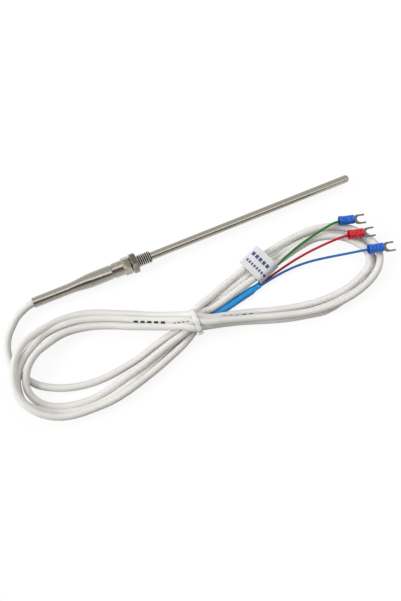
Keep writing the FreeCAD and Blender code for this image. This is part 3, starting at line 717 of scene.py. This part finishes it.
def makeLabel(settings):
    bm = bmesh.new()
    width = settings["width"] * mm
    addOutline(bm, [(0, out * mm, up * mm) for out, up in settings["strip"]], False)
    widenStrip(bm, settings["width"])
    lengthways = [edge for edge in bm.edges if abs(edge.verts[0].co.x - edge.verts[1].co.x) > width / 2]
    bmesh.ops.subdivide_edges(bm, edges=lengthways, cuts=settings["cuts"], use_grid_fill=True)
    bmesh.ops.recalc_face_normals(bm, faces=bm.faces)
    bmesh.ops.solidify(bm, geom=bm.faces[:], thickness=settings["thick"] * mm)
    along = Vector(settings["along"]).normalized()
    out = Vector((0, 0, 1)).cross(along).normalized()
    up = along.cross(out)
    turn = Matrix((along, out, up)).transposed().to_4x4()
    corner = onFloor(*settings["centre"]) - along * width / 2
    bmesh.ops.transform(bm, matrix=Matrix.Translation(corner) @ turn, verts=bm.verts)
    return bm


labelPiece = finishPiece("wireLabel", makeLabel(labelSettings), "labelPaper", "sensor", "wire_label",
                         sharp=labelSettings["sharp"])
print("label folded")


# cable tie: strap round the strands, with its locking head on the near side

tieSettings = {
    "x": 21.3, "margin": 2.25, "cornerShare": 0.98, "thick": 1.1, "width": 2.8, "sharp": 50,
    "hull": [(-48.0, 3.5), (-45.4, 7.0), (-47.2, 11.1), (-51.4, 11.4), (-55.1, 9.5), (-53.2, 3.5)],
    "soften": (50, 0.3, 3),
    "head": (4.0, 4.4, 2.0), "headAt": 0.76, "headShift": (0, 0, 1.0), "headSoften": (50, 0.5, 3),
    "tail": (2.6, 0.9, 1.0), "tailShift": (0, 2.4, 1.1), "tailSoften": (50, 0.12, 2),
}


def makeTie(settings):
    bm = bmesh.new()
    hull = [Vector((y, z)) for y, z in settings["hull"]]
    corners = []
    reaches = []
    for k, point in enumerate(hull):  # sides move out by the margin
        into = (point - hull[k - 1]).normalized()
        away = (hull[(k + 1) % len(hull)] - point).normalized()
        first = Vector((into.y, -into.x))
        second = Vector((away.y, -away.x))
        corners.append(point + (first + second) * settings["margin"] / (1 + first.dot(second)))
        reaches.append(settings["margin"] * math.tan(into.angle(away) / 2) * settings["cornerShare"])
    side = settings["x"] - settings["width"] / 2
    verts = addOutline(bm, [onFloor(side, corner.x, corner.y) for corner in corners], True)
    roundCorners(bm, verts, dict(enumerate(reaches)))
    widenStrip(bm, settings["width"])
    bmesh.ops.solidify(bm, geom=bm.faces[:], thickness=-settings["thick"] * mm)
    softenEdges(bm, *settings["soften"])
    bmesh.ops.recalc_face_normals(bm, faces=bm.faces)  # the thickness inwards leaves the strap inside out
    return bm


def makeBlock(size, shift, soften):
    bm = bmesh.new()
    bmesh.ops.create_cube(bm, size=1.0)
    bmesh.ops.scale(bm, vec=[side * mm for side in size], verts=bm.verts)
    bmesh.ops.translate(bm, vec=[step * mm for step in shift], verts=bm.verts)
    softenEdges(bm, *soften)
    return bm


def makeTieHead(settings):
    top = Vector((0, *settings["hull"][4]))
    bottom = Vector((0, *settings["hull"][5]))
    up = (top - bottom).normalized()
    outward = Vector((0, -up.z, up.y))
    middle = onFloor(settings["x"], *(bottom.lerp(top, settings["headAt"]) + outward * settings["margin"])[1:])
    bm = makeBlock(settings["head"], settings["headShift"], settings["headSoften"])
    joinShape(bm, makeBlock(settings["tail"], settings["tailShift"], settings["tailSoften"]))  # strap's cut end
    turn = Matrix((Vector((1, 0, 0)), up, outward)).transposed().to_4x4()
    bmesh.ops.transform(bm, matrix=Matrix.Translation(middle) @ turn, verts=bm.verts)
    bmesh.ops.recalc_face_normals(bm, faces=bm.faces)
    return bm


tieShape = makeTie(tieSettings)
joinShape(tieShape, makeTieHead(tieSettings))
tiePiece = finishPiece("cableTie", tieShape, "tieNylon", "sensor", "cable_tie",
                       sharp=tieSettings["sharp"])
print("tie made")


print("cords laid")


# finishes of the pieces that keep their own shape

nodeLooks = {
    "cable_root": "cableJacket", "sensing_element": "chipCeramic", "element_leads": "tinnedCopper",
    "insulating_sleeve": "glassSleeve", "tip_filler": "heatFiller", "splice_ferrules": "tinnedCopper",
    "tail_potting": "tailResin",
}
for colour in coreColours:
    nodeLooks["inner_lead_" + colour] = colour + "Wire"
    nodeLooks["core_end_" + colour] = colour + "Wire"
for name, look in nodeLooks.items():
    slots = nodes[name].data.materials
    slots.clear()
    slots.append(looks[look])
print("finishes given:", len(nodeLooks))


# floor, lamps and surroundings

stageSettings = {
    "floorSize": 3.0, "floorTone": 0.12, "glow": 0.885,
    "sky": 1.0, "soft": 0.72,  # strength, and the share of it that lights matt surfaces
    "backdrop": (0.2, 0.12),  # height at which the white starts, and from which it is full
    "turn": math.radians(45),  # of the bands about the upright
    "bands": [  # degrees from overhead, far side first
        (-90, (0.70, 0.69, 0.67)), (-20, (0.74, 0.73, 0.71)), (-2, (0.85, 0.84, 0.81)), (3, (1.9, 1.87, 1.8)),
        (13, (1.9, 1.87, 1.8)), (20, (0.14, 0.12, 0.09)), (42, (0.12, 0.10, 0.075)), (58, (0.45, 0.43, 0.39)),
        (90, (0.6, 0.58, 0.55))],
    "lamps": {  # the steel shows the surroundings and the card, not the other two
        "keyLamp": {"place": (-4.3, 0.66, 2.45), "aim": (0.03, -0.04, 0.0), "size": (2.5, 2.5), "power": 222.0,
                    "hidden": ["glossy"]},
        "fillLamp": {"place": (1.0, 0.6, 1.2), "aim": (0.03, -0.04, 0.0), "size": (0.6, 0.6), "power": 7.0,
                     "hidden": ["glossy"]},
        "sideCard": {"place": (-3.0, 1.0, 0.36), "aim": (0.0, 0.0, 0.0), "size": (1.6, 0.6), "power": 18.0,
                     "hidden": ["diffuse", "camera"]},
    },
}


def sortRays(tree):  # the kinds of ray, and those that show a thing in gloss or through glass
    rays = addNode(tree, "ShaderNodeLightPath").outputs
    return rays, calculate(tree, "MAXIMUM", rays["Is Glossy Ray"], rays["Is Transmission Ray"])


def makeFloor(settings):  # matt for the shadow, with a glow that brings it up to white
    mesh = bpy.data.meshes.new("studioFloor")
    bm = bmesh.new()
    bmesh.ops.create_grid(bm, x_segments=1, y_segments=1, size=settings["floorSize"])
    bmesh.ops.translate(bm, verts=bm.verts, vec=(0, 0, floorLevel))
    bm.to_mesh(mesh)
    bm.free()
    floor = placeObject("studioFloor", mesh)
    material = bpy.data.materials.new("studioWhite")
    material.use_nodes = True
    tree = material.node_tree
    tree.nodes.remove(tree.nodes["Principled BSDF"])
    matt = addNode(tree, "ShaderNodeBsdfDiffuse")
    matt.inputs["Color"].default_value = (*[settings["floorTone"]] * 3, 1.0)
    rays, mirrored = sortRays(tree)
    seen = calculate(tree, "MAXIMUM", rays["Is Camera Ray"], mirrored)
    glow = addNode(tree, "ShaderNodeEmission")
    glow.inputs["Color"].default_value = (1, 1, 1, 1)
    feed(tree, glow.inputs["Strength"], calculate(tree, "MULTIPLY", seen, settings["glow"]))
    both = addNode(tree, "ShaderNodeAddShader")
    feed(tree, both.inputs[0], matt.outputs["BSDF"])
    feed(tree, both.inputs[1], glow.outputs["Emission"])
    feed(tree, tree.nodes["Material Output"].inputs["Surface"], both.outputs["Shader"])
    mesh.materials.append(material)


def makeLamp(name, settings):
    data = bpy.data.lights.new(name, "AREA")
    data.shape = "RECTANGLE"
    data.size, data.size_y = settings["size"]
    data.energy = settings["power"]
    lamp = placeObject(name, data)
    aimAt(lamp, settings["place"], settings["aim"])
    for rays in settings["hidden"]:
        setattr(lamp, "visible_" + rays, False)


def makeSky(settings):  # tones in bands round a level line, and plain white behind the object
    world = bpy.data.worlds.new("studioSky")
    bpy.context.scene.world = world
    world.use_nodes = True
    tree = world.node_tree
    place = addNode(tree, "ShaderNodeTexCoord").outputs["Generated"]
    split = addNode(tree, "ShaderNodeSeparateXYZ")
    feed(tree, split.inputs["Vector"], place)
    height = split.outputs["Z"]
    turn = settings["turn"]
    near = vectorStep(tree, "DOT_PRODUCT", place, (-math.sin(turn), -math.cos(turn), 0), result="Value")
    angle = calculate(tree, "ARCTAN2", near, height)
    ramp = addNode(tree, "ShaderNodeValToRGB")
    feed(tree, ramp.inputs["Fac"], remap(tree, angle, (-math.pi, math.pi)))
    bands = settings["bands"]
    stops = ramp.color_ramp.elements
    for stop, (degrees, tone) in zip((stops[0], stops[1]), (bands[0], bands[-1])):
        stop.position = 0.5 + degrees / 360
        stop.color = (*tone, 1)
    for degrees, tone in bands[1:-1]:
        stop = stops.new(0.5 + degrees / 360)
        stop.color = (*tone, 1)
    rays, mirrored = sortRays(tree)
    backdrop = remap(tree, height, settings["backdrop"])  # the sky's lowest part, in reflections too
    white = calculate(tree, "MAXIMUM", rays["Is Camera Ray"], calculate(tree, "MULTIPLY", mirrored, backdrop))
    sky = tree.nodes["Background"]
    feed(tree, sky.inputs["Color"], mixTone(tree, white, ramp.outputs["Color"], (1, 1, 1)))
    strengths = (settings["sky"], settings["sky"] * settings["soft"])
    feed(tree, sky.inputs["Strength"], remap(tree, rays["Is Diffuse Ray"], (0.0, 1.0), strengths))


makeFloor(stageSettings)
for name, lampSettings in stageSettings["lamps"].items():
    makeLamp(name, lampSettings)
makeSky(stageSettings)
bpy.context.scene.view_settings.view_transform = "Standard"
print("stage set")
